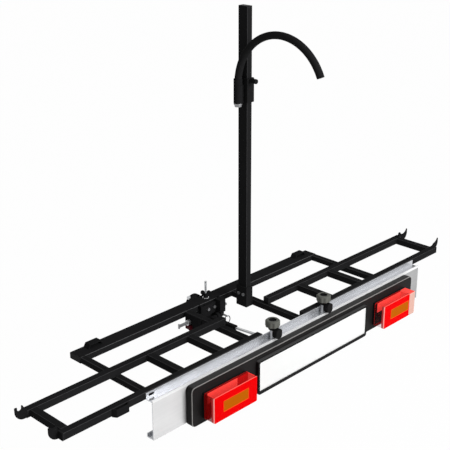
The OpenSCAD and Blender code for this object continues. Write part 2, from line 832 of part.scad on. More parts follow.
// hub and cranked arm on the shaft's left end, with a tab that the T-handle screw presses on
module clamp_lever() {
    hub_r = shaft_d / 2 + 15;
    half = lever_bar_d / 2 + 2.5;
    color("#1d1e20") difference() {
        translate([lever_x, 0, 0]) drawn_along_x(lever_w) difference() {
            union() {
                translate([shaft_y, shaft_up]) circle(hub_r);
                translate([screw_y - 9, shaft_up]) square([18, screw_z - shaft_up + 6]);
                polygon([
                    [shaft_y + 9, shaft_up + 6], [shaft_y - 52, lever_z + half - 3],
                    [lever_y, lever_z + half], [lever_y, lever_z - half],
                    [shaft_y - 57, lever_z - half - 5], [shaft_y - 9, shaft_up - 9]
                ]);
            }
            translate([shaft_y, shaft_up]) circle(d = shaft_d + 2 * fix_gap);
        }
        translate([lever_x, lever_y, lever_z]) rotate([-lever_slope, 0, 0])
            rod_y(30, -2, lever_bar_d + 2 * fix_gap);
    }
}

module lever_bar() {
    color("#c4c7cb") translate([lever_x, lever_y, lever_z]) rotate([-lever_slope, 0, 0])
        rod_y(30 - fix_gap, -lever_bar_len, lever_bar_d);
}

module clamp_rod() {
    z0 = beam_z - cup_roof + 2;
    color("#8d9094") translate([0, 0, z0]) cylinder(d = rod_d, h = beam_top + rod_rise - z0);
}

module rod_washer() {
    color("#d5d7da") translate([0, 0, beam_top]) difference() {
        cylinder(d = 21, h = washer_t);
        translate([0, 0, -1]) cylinder(d = rod_d + 2 * fix_gap, h = washer_t + 2);
    }
}

module wing_nut() {
    body_h = 14;
    wing_t = 5;
    color("#141517") translate([0, 0, beam_top + washer_t + slide_gap]) difference() {
        union() {
            cylinder(d = rod_d + 9, h = body_h);
            rotate([0, 0, -45]) upright(wing_t) for (side = [-1, 1]) {
                translate([side * (wing_span / 2 - 7), body_h + 2]) circle(7);
                polygon([
                    [0, 2], [side * (rod_d / 2 + 3), 1], [side * (wing_span / 2 - 1), body_h - 1],
                    [side * (wing_span / 2 - 13), body_h + 4], [0, body_h - 2]
                ]);
            }
        }
        translate([0, 0, -1]) cylinder(d = rod_d + 2 * run_gap, h = 2 * body_h);
    }
}

// plate on the inner tube that holds the T-handle screw
module screw_bracket() {
    far = 20;
    near = 50;
    color("#232427") difference() {
        translate([bracket_x - screw_bracket_t, screw_y - near, screw_z - 30])
            cube([screw_bracket_t, far + near, beam_top - screw_z + 30]);
        translate([0, screw_y, screw_z])
            rod_x(bracket_x - screw_bracket_t - 1, bracket_x + 1, screw_d + 2 * run_gap);
    }
}

module screw_bush() {
    color("#b9bcc0") translate([0, screw_y, screw_z]) difference() {
        rod_x(bracket_x - screw_bracket_t - bush_len, bracket_x - screw_bracket_t, screw_d + 8);
        rod_x(bracket_x - screw_bracket_t - bush_len - 1, bracket_x, screw_d + 2 * run_gap);
    }
}

module t_handle_screw() {
    x0 = bracket_x - screw_out;
    color("#a9acb0") translate([0, screw_y, screw_z]) {
        rod_x(x0, lever_x - lever_w / 2 - 1, screw_d);
        translate([x0, 0, 0]) rotate([-45, 0, 0]) cylinder(d = handle_d, h = handle_len, center = true);
    }
}

// wedge under the screw, on the bracket
module stop_block() {
    w = 10;
    top = screw_z - screw_d / 2 - 4.5;
    color("#6e1220") translate([bracket_x - screw_bracket_t - w / 2, 0, 0]) drawn_along_x(w) polygon([
        [screw_y + 12, top], [screw_y + 12, top - 4], [screw_y - 14, top - 20], [screw_y - 14, top]
    ]);
}

module pull_pin() {
    color("#b9bcc0") translate([pin_x, 0, pin_z]) difference() {
        union() {
            rod_y(cup_near + 4, cup_near - pin_len, pin_d);
            rod_y(cup_near - 5, cup_near - 10, pin_d + 3);
        }
        translate([0, ring_y, 0]) rod_x(-pin_d, pin_d, ring_wire + 2 * ring_slack);
    }
}

// wire ring that hangs in the pull pin's cross hole
module pull_ring() {
    mid_r = ring_r - ring_wire / 2;
    color("#8d9094") translate([pin_x, ring_y, pin_z - mid_r]) rotate([90, 0, 0])
        rotate_extrude() translate([mid_r, 0]) circle(d = ring_wire, $fn = 24);
}

// bolt places through the socket and the mast
module at_mast_bolts() {
    for (y = [-10, 10]) translate([0, mast_y + y, beam_z + socket_h - 26]) children();
}

module mast_socket() {
    color("#232427") difference() {
        translate([mast_x - socket_w / 2, mast_y - socket_depth / 2, beam_z])
            cube([socket_w, socket_depth, socket_h]);
        translate([mast_x - mast_w / 2 - fix_gap, mast_y - mast_depth / 2 - fix_gap, mast_foot])
            cube([mast_w + 2 * fix_gap, mast_depth + 2 * fix_gap, socket_h]);
        at_mast_bolts() rod_x(mast_x - socket_w, mast_x + socket_w, bolt_d + 2 * fix_gap);
    }
}

module mast_bolts() {
    x0 = mast_x - socket_w / 2;
    color("#b4b7bb") at_mast_bolts() {
        rod_x(x0, x0 + socket_w, bolt_d);
        translate([x0 - bolt_head, 0, 0]) rotate([0, 90, 0]) linear_extrude(bolt_head) hexagon(bolt_af);
    }
}

module mast() {
    color("#26272a") difference() {
        translate([mast_x - mast_w / 2, mast_y - mast_depth / 2, mast_foot])
            cube([mast_w, mast_depth, mast_h]);
        translate([mast_x - mast_w / 2 + mast_wall, mast_y - mast_depth / 2 + mast_wall, mast_foot - 1])
            cube([mast_w - 2 * mast_wall, mast_depth - 2 * mast_wall, mast_h + 2]);
        at_mast_bolts() rod_x(mast_x - mast_w, mast_x + mast_w, bolt_d + 2 * fix_gap);
    }
}

module mast_cap() {
    color("#17181a") translate([mast_x, mast_y, mast_foot + mast_h]) {
        translate([-mast_w / 2, -mast_depth / 2, 0]) cube([mast_w, mast_depth, plug_cap]);
        translate([mast_wall + fix_gap - mast_w / 2, mast_wall + fix_gap - mast_depth / 2, -plug_len])
            cube([mast_w - 2 * (mast_wall + fix_gap), mast_depth - 2 * (mast_wall + fix_gap), plug_len]);
    }
}

// sleeve round the mast with the upright bushing for the arm
module arm_collar() {
    color("#232427") difference() {
        union() {
            translate([mast_x - collar_w / 2, mast_y - collar_depth / 2, collar_low])
                cube([collar_w, collar_depth, collar_h]);
            translate([bushing_x, mast_y, collar_low]) cylinder(d = bushing_d, h = bushing_top - collar_low);
            translate([bushing_x, mast_y - 9, collar_low]) cube([bushing_d, 18, bushing_top - collar_low]);
            translate([mast_x, 0, clamp_z])
                rod_y(mast_y, mast_y - collar_depth / 2 - clamp_boss, clamp_screw_d + 5);
        }
        translate([mast_x - mast_w / 2 - slide_gap, mast_y - mast_depth / 2 - slide_gap, collar_low - 1])
            cube([mast_w + 2 * slide_gap, mast_depth + 2 * slide_gap, collar_h + 2]);
        translate([bushing_x, mast_y, collar_low - 1]) cylinder(d = spigot_d + 2 * run_gap, h = collar_h + 2);
        translate([mast_x, 0, clamp_z])
            rod_y(mast_y - mast_depth / 2, mast_y - collar_depth, clamp_screw_d + 2 * run_gap);
    }
}

module clamp_screw() {
    y0 = mast_y - collar_depth / 2 - clamp_boss - slide_gap;
    color("#2a2b2e") translate([mast_x, 0, clamp_z]) {
        rod_y(mast_y - mast_depth / 2 - slide_gap, y0 - 4, clamp_screw_d);
        rod_y(y0, y0 - 16, clamp_knob_d);
    }
}

// bent tube that reaches over the track
module arm() {
    color("#26272a") translate([bushing_x, mast_y - arm_r, arm_start]) rotate([90, 0, 90])
        rotate_extrude(angle = arm_turn) translate([arm_r, 0]) difference() {
            circle(d = arm_d);
            circle(d = arm_d - 2 * arm_wall);
        }
}

// pin that turns in the bushing, with a cup that holds the bent tube's foot
module arm_spigot() {
    bend_gap = arm_cup * arm_cup / 2 / arm_r + slide_gap;
    color("#232427") translate([bushing_x, mast_y, 0]) {
        translate([0, 0, collar_low - slide_gap])
            cylinder(d = spigot_d, h = arm_start - collar_low + slide_gap - 1);
        translate([0, 0, arm_start - spigot_flange]) difference() {
            cylinder(d = bushing_d, h = spigot_flange + arm_cup);
            translate([0, 0, spigot_flange]) cylinder(d = arm_d + 2 * bend_gap, h = arm_cup + 1);
        }
    }
}

// ring and nut under the bushing
module arm_nut() {
    color("#c4c7cb") translate([bushing_x, mast_y, collar_low - slide_gap]) {
        translate([0, 0, -4]) cylinder(d = bushing_d - 1, h = 4);
        translate([0, 0, -11]) linear_extrude(7) hexagon(19);
    }
}

// closing cap of the tube's free end
module arm_cap() {
    color("#17181a") translate([bushing_x, mast_y - arm_r, arm_start]) rotate([90, 0, 90])
        rotate([0, 0, arm_turn]) translate([arm_r, 0, 0]) rotate([-90, 0, 0]) {
            cylinder(d = arm_d, h = 4);
            translate([0, 0, -arm_plug]) cylinder(d = arm_d - 2 * (arm_wall + slide_gap), h = arm_plug + 1);
        }
}

car_side_beam();
left_side_tube();
right_side_tube();
left_inner_tube();
right_inner_tube();
left_far_rail();
left_near_rail();
right_far_rail();
right_near_rail();
left_rungs();
right_rungs();
left_end_hooks();
right_end_hooks();
strap_loops();
tube_plugs();
light_carrier();
carrier_screw();
light_board();
plate_holder();
number_plate();
left_lamp_base();
left_lamp_lens();
right_lamp_base();
right_lamp_lens();
lamp_ambers();
right_lamp_clear();
knob_studs();
knob_spacers();
board_hooks();
left_star_knob();
right_star_knob();
ball_cup();
coupling_cheeks();
front_plate();
coupling_bolts();
back_plate();
back_plate_bolt();
cross_shaft();
clamp_jaw();
clamp_lever();
lever_bar();
clamp_rod();
rod_washer();
wing_nut();
screw_bracket();
screw_bush();
t_handle_screw();
stop_block();
pull_pin();
pull_ring();
mast_socket();
mast_bolts();
mast();
mast_cap();
arm_collar();
clamp_screw();
arm();
arm_spigot();
arm_nut();
arm_cap();
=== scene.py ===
import json
import math

import bpy
from mathutils import Matrix, Vector

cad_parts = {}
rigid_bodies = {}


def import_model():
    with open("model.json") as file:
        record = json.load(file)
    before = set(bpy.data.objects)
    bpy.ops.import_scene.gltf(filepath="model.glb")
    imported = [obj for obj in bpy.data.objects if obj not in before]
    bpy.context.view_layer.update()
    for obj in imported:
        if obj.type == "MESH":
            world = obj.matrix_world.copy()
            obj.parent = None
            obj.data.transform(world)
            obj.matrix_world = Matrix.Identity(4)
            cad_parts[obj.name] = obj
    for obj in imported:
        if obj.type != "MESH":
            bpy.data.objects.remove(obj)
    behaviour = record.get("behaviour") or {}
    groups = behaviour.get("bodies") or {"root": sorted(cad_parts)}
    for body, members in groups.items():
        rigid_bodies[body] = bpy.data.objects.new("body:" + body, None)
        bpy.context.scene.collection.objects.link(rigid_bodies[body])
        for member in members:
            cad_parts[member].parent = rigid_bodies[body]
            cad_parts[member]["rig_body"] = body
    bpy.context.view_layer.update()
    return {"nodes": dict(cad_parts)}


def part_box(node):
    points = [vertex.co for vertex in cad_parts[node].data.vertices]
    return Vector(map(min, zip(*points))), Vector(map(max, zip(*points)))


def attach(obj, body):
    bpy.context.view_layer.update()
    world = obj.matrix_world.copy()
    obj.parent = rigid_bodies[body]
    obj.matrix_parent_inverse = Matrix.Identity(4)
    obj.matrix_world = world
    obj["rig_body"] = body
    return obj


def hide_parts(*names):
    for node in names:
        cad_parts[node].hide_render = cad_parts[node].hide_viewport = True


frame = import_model()


# Base frame: a flat box beam on the car's side with four square tubes welded to its near face.
# Drawn steel tube has round long corners, and the black powder coat shows a fine orange-peel skin.
class Wire:
    """A socket in a material's nodes, which takes part in sums."""

    def __init__(self, tree, socket):
        self.tree = tree
        self.socket = socket

    def node(self, kind, settings, sockets, output=0):
        """Adds a node, sets it up, fills its sockets and gives the wire of one output."""
        made = self.tree.nodes.new("ShaderNode" + kind)
        for name, value in settings.items():
            setattr(made, name, value)
        for name, value in sockets.items():
            if isinstance(value, Wire):
                self.tree.links.new(value.socket, made.inputs[name])
            else:
                made.inputs[name].default_value = value
        return Wire(self.tree, made.outputs[output])

    def into(self, shader, name):
        """Leads this wire to one of a shader's sockets."""
        self.tree.links.new(self.socket, shader.inputs[name])

    def sum_of(self, operation, first, second):
        return self.node("Math", {"operation": operation}, {0: first, 1: second})

    def __add__(self, other):
        return self.sum_of("ADD", self, other)

    def __radd__(self, other):
        return self.sum_of("ADD", other, self)

    def __sub__(self, other):
        return self.sum_of("SUBTRACT", self, other)

    def __rsub__(self, other):
        return self.sum_of("SUBTRACT", other, self)

    def __mul__(self, other):
        return self.sum_of("MULTIPLY", self, other)

    def __rmul__(self, other):
        return self.sum_of("MULTIPLY", other, self)


def start_finish(name):
    """A new material with its shader, and the wire of the piece's own coordinates."""
    paint = bpy.data.materials.new(name)
    paint.use_nodes = True
    tree = paint.node_tree
    tree.nodes.clear()
    shader = tree.nodes.new("ShaderNodeBsdfPrincipled")
    end = tree.nodes.new("ShaderNodeOutputMaterial")
    tree.links.new(shader.outputs[0], end.inputs[0])
    place = Wire(tree, tree.nodes.new("ShaderNodeTexCoord").outputs["Object"])
    return paint, shader, place


def noise(place, scale, detail=3.0):
    """Cloudy pattern from 0 to 1, with about this many clouds to the metre."""
    return place.node("TexNoise", {}, {"Vector": place, "Scale": scale, "Detail": detail})


def stretched(place, x, y, z):
    """The piece's coordinates, squeezed along the axes with the large numbers."""
    return place.node("Mapping", {}, {"Vector": place, "Scale": (x, y, z)})


def between(amount, low, high):
    """Colour between two colours."""
    sockets = {0: amount, 6: (*low, 1.0), 7: (*high, 1.0)}
    return amount.node("Mix", {"data_type": "RGBA"}, sockets, 2)


def dented(height, depth, strength, shader):
    """Surface relief from a height pattern, its depth in metres."""
    sockets = {"Strength": strength, "Distance": depth, "Height": height}
    height.node("Bump", {}, sockets).into(shader, "Normal")


def powder_coat(name, dark, light, gloss):
    """Black powder coat: orange-peel skin, faint clouds and a little handling dust."""
    paint, shader, place = start_finish(name)
    cloud = noise(place, 7.0, 4.0)
    dust = noise(place, 85.0, 6.0)
    peel = noise(place, 520.0, 1.0)
    between(0.6 * cloud + 0.4 * dust, dark, light).into(shader, "Base Color")
    (gloss + 0.14 * dust + 0.06 * cloud).into(shader, "Roughness")
    shader.inputs["Specular IOR Level"].default_value = 0.0015
    dented(peel, 0.0004, 0.22, shader)
    return paint


def take(piece):
    """Makes one piece the only selected and the active one."""
    bpy.ops.object.select_all(action="DESELECT")
    piece.select_set(True)
    bpy.context.view_layer.objects.active = piece


def smooth_shade(piece, degrees=38.0):
    """Smooth shading with crisp folds, weighted so that flat faces stay flat."""
    take(piece)
    bpy.ops.object.shade_smooth_by_angle(angle=math.radians(degrees))
    weight = piece.modifiers.new("flats", "WEIGHTED_NORMAL")
    weight.keep_sharp = True
    bpy.ops.object.modifier_apply(modifier=weight.name)


def hold(piece, node, finish):
    """The piece stands for the node: it takes the finish, hides the node and rides on the node's body."""
    piece.data.materials.clear()
    piece.data.materials.append(finish)
    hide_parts(node)
    stand_with(piece, node)


def stand_with(piece, node):
    """The piece rides on the node's body."""
    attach(piece, frame["nodes"][node]["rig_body"])


def eased(node, radius, finish, longer_than=0.0, steps=3, highlight_finish=None):
    """A merged copy of the node with its sharp edges rounded, and the rounded faces given a painted
    highlight finish if one is given.
    """
    source = frame["nodes"][node]
    piece = bpy.data.objects.new(node + "_eased", source.data.copy())
    bpy.context.scene.collection.objects.link(piece)
    take(piece)
    bpy.ops.object.mode_set(mode="EDIT")
    bpy.ops.mesh.select_mode(type="EDGE")
    bpy.ops.mesh.select_all(action="SELECT")
    bpy.ops.mesh.remove_doubles(threshold=0.00001)
    bpy.ops.mesh.dissolve_limited(angle_limit=math.radians(0.4))
    bpy.ops.mesh.select_all(action="DESELECT")
    bpy.ops.mesh.edges_select_sharp(sharpness=math.radians(36))
    bpy.ops.object.mode_set(mode="OBJECT")
    mesh = piece.data
    for edge in mesh.edges:
        first, second = (mesh.vertices[i].co for i in edge.vertices)
        if (first - second).length < longer_than:
            edge.select = False
    bpy.ops.object.mode_set(mode="EDIT")
    bpy.ops.mesh.bevel(offset=radius, segments=steps, affect="EDGES", clamp_overlap=True)
    bpy.ops.object.mode_set(mode="OBJECT")
    rounded = [face.index for face in mesh.polygons if face.select and max(map(abs, face.normal)) < 0.99]
    smooth_shade(piece)
    hold(piece, node, finish)
    if highlight_finish:
        mesh.materials.append(highlight_finish)
        for index in rounded:
            mesh.polygons[index].material_index = 1
    return piece


tube_corner = 0.0024
long_edge = 0.1
square_on = 0.9
frame_paint = powder_coat("frame_powder_coat", (0.0125, 0.0125, 0.013), (0.023, 0.023, 0.024), 0.5)
# Lighter coats laid on the rounded long edges of the beam and the tubes: a painted highlight along each
# edge.
beam_painted_highlight = powder_coat("beam_painted_highlight_coat", (0.085, 0.085, 0.088), (0.16, 0.16, 0.165), 0.4)
tube_painted_highlight = powder_coat("tube_painted_highlight_coat", (0.04, 0.04, 0.0415), (0.075, 0.075, 0.078), 0.42)
eased("car_side_beam", tube_corner, frame_paint, longer_than=long_edge, steps=4, highlight_finish=beam_painted_highlight)
for node in ("left_side_tube", "right_side_tube", "left_inner_tube", "right_inner_tube"):
    eased(node, tube_corner, frame_paint, longer_than=long_edge, steps=4, highlight_finish=tube_painted_highlight)


# Wheel track: two pairs of square rails with three rungs between each pair, welded up as ladders.
# The same drawn tube and powder coat as the base frame, a little duller.
track_paint = powder_coat("track_powder_coat", (0.0125, 0.0125, 0.013), (0.0235, 0.0235, 0.0245), 0.52)
rails = ["left_far_rail", "left_near_rail", "right_far_rail", "right_near_rail"]
# The rails' and rungs' rounded long edges get the tubes' lighter coat, a painted highlight.
for node in rails + ["left_rungs", "right_rungs"]:
    eased(node, tube_corner, track_paint, longer_than=long_edge, steps=4, highlight_finish=tube_painted_highlight)


# Weld seams: short hand-laid beads in the corners where tubes, rails and rungs meet.
# Each bead is a row of overlapping weld pools, painted over with the frame.
bead_length = 0.0185
bead_radius = 0.0027
bead_pools = 9
bpy.ops.object.select_all(action="DESELECT")
bpy.ops.mesh.primitive_cylinder_add(
    vertices=10, radius=bead_radius, depth=bead_length, end_fill_type="TRIFAN"
)
bead = bpy.context.object


def pick_edges(piece, wanted):
    """Selects, in edit mode, the edges whose two ends pass the test."""
    take(piece)
    bpy.ops.object.mode_set(mode="EDIT")
    bpy.ops.mesh.select_mode(type="EDGE")
    bpy.ops.mesh.select_all(action="DESELECT")
    bpy.ops.object.mode_set(mode="OBJECT")
    mesh = piece.data
    for edge in mesh.edges:
        first, second = (mesh.vertices[i].co for i in edge.vertices)
        edge.select = wanted(first, second)
    bpy.ops.object.mode_set(mode="EDIT")


pick_edges(bead, lambda a, b: abs(a.z - b.z) > 0.9 * bead_length)
bpy.ops.mesh.subdivide(number_cuts=4 * bead_pools - 1)
bpy.ops.object.mode_set(mode="OBJECT")
for vertex in bead.data.vertices:
    along = vertex.co.z / bead_length + 0.5
    pool = (along * bead_pools) % 1.0
    swell = 0.84 + 0.2 * math.sqrt(max(0.0, 1.0 - (1.4 * pool - 0.55) ** 2))
    taper = min(1.0, 0.45 + 5.0 * min(along, 1.0 - along))
    vertex.co.x *= swell * taper
    vertex.co.y *= swell * taper
smooth_shade(bead, 60.0)


def set_copy(piece, matrix):
    """A copy of a piece with its own mesh, turned and moved in the mesh."""
    copy = piece.copy()
    copy.data = piece.data.copy()
    copy.data.transform(matrix)
    bpy.context.scene.collection.objects.link(copy)
    return copy


def joined(parts, name):
    """One piece out of several."""
    bpy.ops.object.select_all(action="DESELECT")
    for part in parts:
        part.select_set(True)
    bpy.context.view_layer.objects.active = parts[0]
    bpy.ops.object.join()
    parts[0].name = name
    return parts[0]


along_x = Matrix.Rotation(math.pi / 2, 4, "Y")
beam_low, beam_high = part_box("car_side_beam")
rail_far_low, rail_far_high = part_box("left_far_rail")
rail_near_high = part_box("left_near_rail")[1]
tube_middle = (beam_low.z + beam_high.z) / 2
rail_middle = (rail_far_low.z + rail_far_high.z) / 2
seams = []
for node in ("left_side_tube", "left_inner_tube", "right_inner_tube", "right_side_tube"):
    low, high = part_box(node)
    for x in (low.x, high.x):
        if abs(x) < beam_high.x - 0.002:
            seams.append(set_copy(bead, Matrix.Translation((x, beam_low.y, tube_middle))))
    for y in (rail_far_high.y, rail_far_low.y, rail_near_high.y):
        if abs(low.x) > 0.13 or low.x < 0:
            middle = Vector(((low.x + high.x) / 2, y, beam_high.z))
            seams.append(set_copy(bead, Matrix.Translation(middle) @ along_x))


def side_faces(node, apart):
    """The places along X where the node's solids start and end, where gaps between them are this wide."""
    places = sorted(vertex.co.x for vertex in frame["nodes"][node].data.vertices)
    faces = [places[0]]
    for before, after in zip(places, places[1:]):
        if after - before > apart:
            faces += [before, after]
    return faces + [places[-1]]


for node in ("left_rungs", "right_rungs"):
    for x in side_faces(node, 0.05):
        for y in (rail_far_low.y, rail_near_high.y):
            seams.append(set_copy(bead, Matrix.Translation((x, y, rail_middle))))
socket_low, socket_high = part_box("mast_socket")
for y in (socket_low.y, socket_high.y):
    seams.append(set_copy(bead, Matrix.Translation((socket_high.x, y, tube_middle))))
bpy.data.objects.remove(bead)
weld_seams = joined(seams, "weld_seams")
weld_seams.data.materials.append(frame_paint)
stand_with(weld_seams, "car_side_beam")


# Tube plugs: black moulded caps pushed into the open ends of the beam, the tubes and the rails.
# Injection-moulded polyethylene, a fine spark grain on the face and softly rounded rims.
def moulded_plastic(name, dark, light, grain, gloss, shine=0.05):
    """Black moulded plastic with a spark-eroded grain and a faint flow pattern."""
    paint, shader, place = start_finish(name)
    flow = noise(place, 16.0, 3.0)
    spark = noise(place, grain, 3.0)
    between(0.5 * flow + 0.5 * spark, dark, light).into(shader, "Base Color")
    (gloss + 0.12 * flow + 0.1 * spark).into(shader, "Roughness")
    shader.inputs["Specular IOR Level"].default_value = shine
    dented(spark, 0.0003, 0.25, shader)
    return paint


cap_plastic = moulded_plastic("cap_plastic", (0.006, 0.006, 0.0063), (0.012, 0.012, 0.0126), 900.0, 0.4)
eased("tube_plugs", 0.0012, cap_plastic)


# End hooks: flame-cut flat plates with notches for the loading ramp, each welded to a foot plate.
# The foot plate closes the rail's outer end, and the cut edges are ground round before painting.
fitting_paint = powder_coat("fitting_powder_coat", (0.01, 0.01, 0.0105), (0.02, 0.02, 0.021), 0.48)
eased("left_end_hooks", 0.0008, fitting_paint)
eased("right_end_hooks", 0.0008, fitting_paint)


# Strap loops: bent flat bar welded by its feet to the beam and to the near rail.
# A lashing strap passes under the raised middle, so its edges are rounded.
eased("strap_loops", 0.0009, fitting_paint)


# Light carrier: one aluminium extrusion with an upstand, a floor, a near lip, a deep web and a foot.
# Mill finish, with drawing lines along its length, soft clouds of oxide and a few scuffs.
def mill_aluminium(name, dark, light, gloss, metal, banding, shade_along_x=0.0):
    """Bare extruded aluminium with die lines along X, and painted shade that may darken it along X by the
    metre.
    """
    paint, shader, place = start_finish(name)
    lines = noise(stretched(place, 5.0, 900.0, 900.0), 1.0, 4.0)
    bands = noise(stretched(place, 1.2, 230.0, 230.0), 1.0, 2.0)
    cloud = noise(place, 6.0, 5.0)
    scuff = noise(stretched(place, 30.0, 260.0, 260.0), 1.0, 5.0)
    tone = 0.2 * lines + banding * bands + (0.8 - banding) * cloud
    if shade_along_x:
        tone = tone - shade_along_x * place.node("SeparateXYZ", {}, {0: place}, 0)
    between(tone, dark, light).into(shader, "Base Color")
    (gloss + 0.14 * cloud + 0.12 * scuff).into(shader, "Roughness")
    shader.inputs["Metallic"].default_value = metal
    dented(0.7 * lines + 0.3 * bands, 0.0003, 0.2, shader)
    return paint


def cut_across(piece, point, normal):
    """Cuts all faces of a piece along a plane."""
    take(piece)
    bpy.ops.object.mode_set(mode="EDIT")
    bpy.ops.mesh.select_all(action="SELECT")
    bpy.ops.mesh.bisect(plane_co=point, plane_no=normal)
    bpy.ops.object.mode_set(mode="OBJECT")


aluminium = mill_aluminium("mill_aluminium", (0.36, 0.37, 0.392), (0.95, 0.96, 0.985), 0.12, 0.75, 0.55)
# The web darkens towards +X: painted shade across its length.
web_aluminium = mill_aluminium(
    "web_aluminium", (0.38, 0.382, 0.385), (0.8, 0.8, 0.803), 0.3, 0.3, 0.15, shade_along_x=0.6
)
# Near-white matt aluminium on the carrier's rounded edges and the near lip's face: a painted highlight in
# place of the bright reflection there.
lip_painted_highlight = mill_aluminium("lip_painted_highlight", (0.8, 0.805, 0.815), (0.95, 0.95, 0.955), 0.3, 0.15, 0.3)
carrier = eased("light_carrier", 0.0008, aluminium, steps=2, highlight_finish=lip_painted_highlight)
web_top_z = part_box("light_board")[1].z - 0.001
near_zone = 0.006
cut_across(carrier, (0.0, 0.0, web_top_z), (0.0, 0.0, 1.0))
carrier.data.materials.append(web_aluminium)
carrier_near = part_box("light_carrier")[0].y
# Near faces above the board's top take the painted highlight; the web below it takes its own finish.
for face in carrier.data.polygons:
    if face.normal.y < -square_on and face.center.y < carrier_near + near_zone:
        face.material_index = 1 if face.center.z > web_top_z else 2
eased("carrier_screw", 0.0006, cap_plastic)


# Light board: a long flat black plastic box that carries the lamps and the plate.
# Moulded with round corners and a bevel round its front, in a fine-grained matt face.
board_plastic = moulded_plastic("board_plastic", (0.012, 0.0114, 0.0114), (0.02, 0.019, 0.019), 700.0, 0.42)
# Light grey for the front bevel: a painted highlight along the board's front edge.
board_edge_highlight = moulded_plastic("board_edge_highlight_plastic", (0.24, 0.232, 0.225), (0.36, 0.35, 0.34), 700.0, 0.3)
# Lighter grey for the board's upward faces: painted light on its top.
board_lit_top = moulded_plastic("board_lit_top_plastic", (0.03, 0.03, 0.03), (0.048, 0.048, 0.048), 700.0, 0.42)


def block(name, low, high):
    """A box between two corners, to be shaped further."""
    bpy.ops.object.select_all(action="DESELECT")
    bpy.ops.mesh.primitive_cube_add(size=1.0, location=(low + high) / 2)
    made = bpy.context.object
    made.name = name
    made.scale = high - low
    bpy.ops.object.transform_apply(location=True, rotation=True, scale=True)
    return made


def round_edges(piece, radius, steps, wanted):
    """Rounds the edges that pass the test."""
    pick_edges(piece, wanted)
    bpy.ops.mesh.bevel(offset=radius, segments=steps, affect="EDGES", clamp_overlap=True)
    bpy.ops.object.mode_set(mode="OBJECT")


board_corner = 0.014
back_edge = 0.0015
front_edge = 0.0019
board_low, board_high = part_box("light_board")
board = block("light_board_shell", board_low, board_high)
round_edges(board, board_corner, 8, lambda a, b: abs(a.y - b.y) > 0.01)
round_edges(board, back_edge, 2, lambda a, b: min(a.y, b.y) > board_high.y - 0.0001)
round_edges(board, front_edge, 2, lambda a, b: max(a.y, b.y) < board_low.y + 0.0001)
highlight_rim = [face.index for face in board.data.polygons if -0.95 < face.normal.y < -0.2]
smooth_shade(board)
hold(board, "light_board", board_plastic)
board.data.materials.append(board_edge_highlight)
board.data.materials.append(board_lit_top)
# Upward faces take the painted light of the top.
for face in board.data.polygons:
    if face.normal.z > square_on:
        face.material_index = 2
# The front bevel's faces take the painted highlight.
for index in highlight_rim:
    board.data.polygons[index].material_index = 1


# Plate holder: a shallow black frame on the board that grips the plate behind a thin bezel.
# Moulded in the board's plastic, a little smoother, with a wider lower bezel.
holder_plastic = moulded_plastic(
    "holder_plastic", (0.007, 0.007, 0.0074), (0.014, 0.014, 0.0145), 800.0, 0.4
)
# Lighter grey for the holder's upward faces: painted light on the top of the bezel.
holder_lit_top = moulded_plastic("holder_lit_top_plastic", (0.06, 0.06, 0.06), (0.1, 0.1, 0.1), 800.0, 0.38)
holder = eased("plate_holder", 0.0011, holder_plastic)
holder.data.materials.append(holder_lit_top)
for face in holder.data.polygons:
    if face.normal.z > 0.6:
        face.material_index = 1


# Number plate: a pressed aluminium sheet with white reflective film, left blank.
# The film's glass beads give a fine sparkle, and a low rim is pressed round the field.
paint, shader, place = start_finish("plate_film")
beads = place.node("TexVoronoi", {}, {"Vector": place, "Scale": 1400.0})
film = noise(place, 11.0, 4.0)
between(0.7 * film + 0.3 * beads, (0.87, 0.88, 0.875), (0.93, 0.935, 0.93)).into(shader, "Base Color")
(0.24 + 0.14 * film).into(shader, "Roughness")
shader.inputs["Specular IOR Level"].default_value = 0.2
dented(beads, 0.00005, 0.15, shader)
plate_corner = 0.01
rim_width = 0.0075
step_width = 0.0012
step_depth = -0.0007
plate_low, plate_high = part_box("number_plate")
plate = block("plate_blank", plate_low, plate_high)
round_edges(plate, plate_corner, 8, lambda a, b: abs(a.y - b.y) > 0.0015)


def pick_faces(piece, wanted):
    """Selects, in edit mode, the faces whose middle and normal pass the test."""
    take(piece)
    bpy.ops.object.mode_set(mode="EDIT")
    bpy.ops.mesh.select_mode(type="FACE")
    bpy.ops.mesh.select_all(action="DESELECT")
    bpy.ops.object.mode_set(mode="OBJECT")
    for face in piece.data.polygons:
        face.select = wanted(face.center, face.normal)
    bpy.ops.object.mode_set(mode="EDIT")


pick_faces(plate, lambda middle, normal: normal.y < -square_on)
bpy.ops.mesh.inset(thickness=rim_width, depth=0.0)
bpy.ops.mesh.inset(thickness=step_width, depth=step_depth)
bpy.ops.object.mode_set(mode="OBJECT")
smooth_shade(plate, 25.0)
hold(plate, "number_plate", paint)


# Lamps: a shallow black base on the board with a clear-sided red lens in front of it.
# The lens is one moulded shell of red acrylic, with a solid red face round a ribbed amber window.
eased("left_lamp_base", 0.001, holder_plastic)
eased("right_lamp_base", 0.001, holder_plastic)


def acrylic(name, colour, deep, alpha, gloss, painted_glow=0.0):
    """Tinted acrylic of the given cover, with a faint moulding flow and a painted glow that stands in for
    light caught inside.
    """
    paint, shader, place = start_finish(name)
    flow = noise(place, 45.0, 3.0)
    tint = between(flow, deep, colour)
    tint.into(shader, "Base Color")
    tint.into(shader, "Emission Color")
    shader.inputs["Emission Strength"].default_value = painted_glow
    (gloss + 0.08 * flow).into(shader, "Roughness")
    shader.inputs["Alpha"].default_value = alpha
    shader.inputs["Specular IOR Level"].default_value = 0.008
    dented(flow, 0.0003, 0.08, shader)
    return paint


red_face = acrylic("red_face", (0.88, 0.0006, 0.002), (0.82, 0.0005, 0.0016), 1.0, 0.2)
red_top = acrylic("red_top", (1.0, 0.04, 0.03), (0.95, 0.03, 0.024), 0.15, 0.2)
